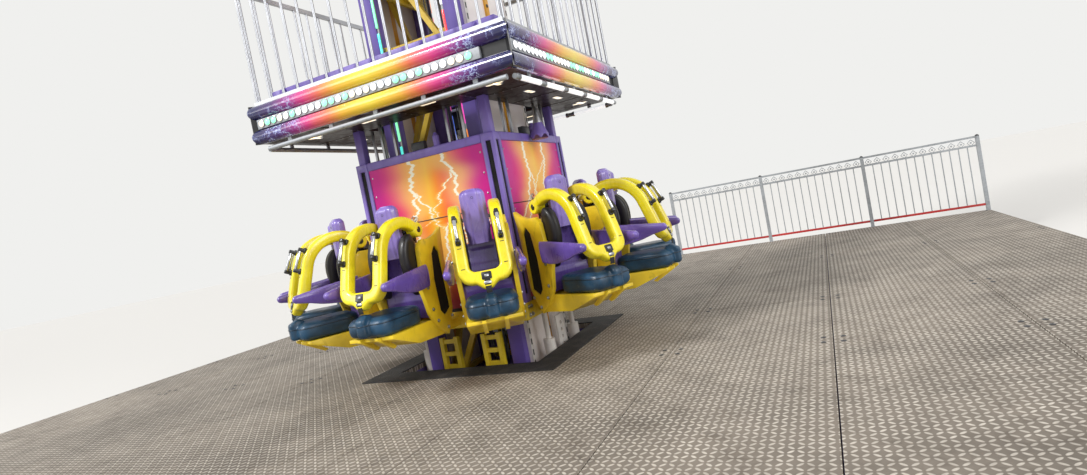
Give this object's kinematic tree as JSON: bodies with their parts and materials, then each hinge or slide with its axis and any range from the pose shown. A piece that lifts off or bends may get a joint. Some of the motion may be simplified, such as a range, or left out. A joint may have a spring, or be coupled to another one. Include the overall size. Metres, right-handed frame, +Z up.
{
  "type": "drop tower ride",
  "caption": "Family drop tower: latticed tower on a tread-plate deck, with a seat gondola and canopy that slide up its rails and shoulder harnesses that swing open.",
  "frame": {"origin": "the point on the ground under the tower's axis, in the middle of the deck", "axes": "+Z up the tower, -Y to the entry side of the deck, +Y to the fenced exit side, +X to the side with the bell hood seen in the picture"},
  "size_m": [10.8, 13.1926, 18],
  "materials": {
    "frame_purple": "satin",
    "zinc": "satin",
    "tread_plate": "worn",
    "black_rubber": "matte",
    "tower_purple": "gloss",
    "lattice_yellow": "satin",
    "panel_white": "gloss",
    "strip_orange": "satin",
    "tube_light": "gloss",
    "ram_grey": "gloss",
    "wire_rope": "satin",
    "machine_dark": "satin",
    "carrier_yellow": "gloss",
    "gondola_purple": "gloss",
    "art_pink": "gloss",
    "soffit_dark": "satin",
    "band_gloss": "gloss",
    "bright_steel": "satin",
    "seat_yellow": "gloss",
    "seat_purple": "gloss",
    "cushion_teal": "vinyl",
    "machine_black": "satin",
    "harness_yellow": "gloss"
  },
  "bodies": {
    "tower": {"base_frame": "frame_purple", "levelling_jacks": "zinc", "deck_front": "tread_plate", "deck_back": "tread_plate", "deck_left": "tread_plate", "deck_right": "tread_plate", "deck_mats": "black_rubber", "exit_fence": "zinc", "deck_steps": "zinc", "tower_rails": "tower_purple", "lattice_front": "lattice_yellow", "lattice_back": "lattice_yellow", "lattice_left": "lattice_yellow", "lattice_right": "lattice_yellow", "side_panels_front": "panel_white", "side_panels_rear": "panel_white", "side_strips": "strip_orange", "light_tubes": "tube_light", "fold_hinge": "lattice_yellow", "erection_ram": "ram_grey", "tower_ladder": "zinc", "lift_cables": "wire_rope", "tower_head": "tower_purple", "head_sheaves": "machine_dark", "landing_buffers": "ram_grey", "base_brackets": "lattice_yellow"},
    "gondola": {"carrier_ring": "carrier_yellow", "carrier_posts": "gondola_purple", "carrier_top_rails": "gondola_purple", "art_panels": "art_pink", "guide_rollers": "machine_dark", "canopy_posts": "gondola_purple", "canopy_frame": "gondola_purple", "canopy_soffit": "soffit_dark", "fascia_sheets": "soffit_dark", "fascia_bands": "band_gloss", "canopy_pipes": "zinc", "canopy_cage": "bright_steel", "bell_hoods": "gondola_purple", "seat_frames": "seat_yellow", "seat_backs": "seat_purple", "seat_cushions": "cushion_teal", "seat_armrests": "seat_purple", "headrests": "seat_purple", "pivot_housings": "machine_black"},
    "harness_01": {"harness_01": "harness_yellow"},
    "harness_02": {"harness_02": "harness_yellow"},
    "harness_03": {"harness_03": "harness_yellow"},
    "harness_04": {"harness_04": "harness_yellow"},
    "harness_05": {"harness_05": "harness_yellow"},
    "harness_06": {"harness_06": "harness_yellow"},
    "harness_07": {"harness_07": "harness_yellow"},
    "harness_08": {"harness_08": "harness_yellow"},
    "harness_09": {"harness_09": "harness_yellow"},
    "harness_10": {"harness_10": "harness_yellow"},
    "harness_11": {"harness_11": "harness_yellow"},
    "harness_12": {"harness_12": "harness_yellow"}
  },
  "joints": [
    {"name": "gondola_lift", "type": "slide", "parent": "tower", "child": "gondola", "axis": [0, 0, 1], "range_m": [0, 12]},
    {"name": "harness_01_open", "type": "hinge", "parent": "gondola", "child": "harness_01", "pos_m": [1.285, 0, 1.77], "axis": [0, -1, 0], "range_deg": [0, 70]},
    {"name": "harness_02_open", "type": "hinge", "parent": "gondola", "child": "harness_02", "pos_m": [1.11284, 0.6425, 1.77], "axis": [0.5, -0.866, 0], "range_deg": [0, 70]},
    {"name": "harness_03_open", "type": "hinge", "parent": "gondola", "child": "harness_03", "pos_m": [0.6425, 1.11284, 1.77], "axis": [0.866, -0.5, 0], "range_deg": [0, 70]},
    {"name": "harness_04_open", "type": "hinge", "parent": "gondola", "child": "harness_04", "pos_m": [0, 1.285, 1.77], "axis": [1, 0, 0], "range_deg": [0, 70]},
    {"name": "harness_05_open", "type": "hinge", "parent": "gondola", "child": "harness_05", "pos_m": [-0.6425, 1.11284, 1.77], "axis": [0.866, 0.5, 0], "range_deg": [0, 70]},
    {"name": "harness_06_open", "type": "hinge", "parent": "gondola", "child": "harness_06", "pos_m": [-1.11284, 0.6425, 1.77], "axis": [0.5, 0.866, 0], "range_deg": [0, 70]},
    {"name": "harness_07_open", "type": "hinge", "parent": "gondola", "child": "harness_07", "pos_m": [-1.285, 0, 1.77], "axis": [0, 1, 0], "range_deg": [0, 70]},
    {"name": "harness_08_open", "type": "hinge", "parent": "gondola", "child": "harness_08", "pos_m": [-1.11284, -0.6425, 1.77], "axis": [-0.5, 0.866, 0], "range_deg": [0, 70]},
    {"name": "harness_09_open", "type": "hinge", "parent": "gondola", "child": "harness_09", "pos_m": [-0.6425, -1.11284, 1.77], "axis": [-0.866, 0.5, 0], "range_deg": [0, 70]},
    {"name": "harness_10_open", "type": "hinge", "parent": "gondola", "child": "harness_10", "pos_m": [0, -1.285, 1.77], "axis": [-1, 0, 0], "range_deg": [0, 70]},
    {"name": "harness_11_open", "type": "hinge", "parent": "gondola", "child": "harness_11", "pos_m": [0.6425, -1.11284, 1.77], "axis": [-0.866, -0.5, 0], "range_deg": [0, 70]},
    {"name": "harness_12_open", "type": "hinge", "parent": "gondola", "child": "harness_12", "pos_m": [1.11284, -0.6425, 1.77], "axis": [-0.5, -0.866, 0], "range_deg": [0, 70]}
  ]
}
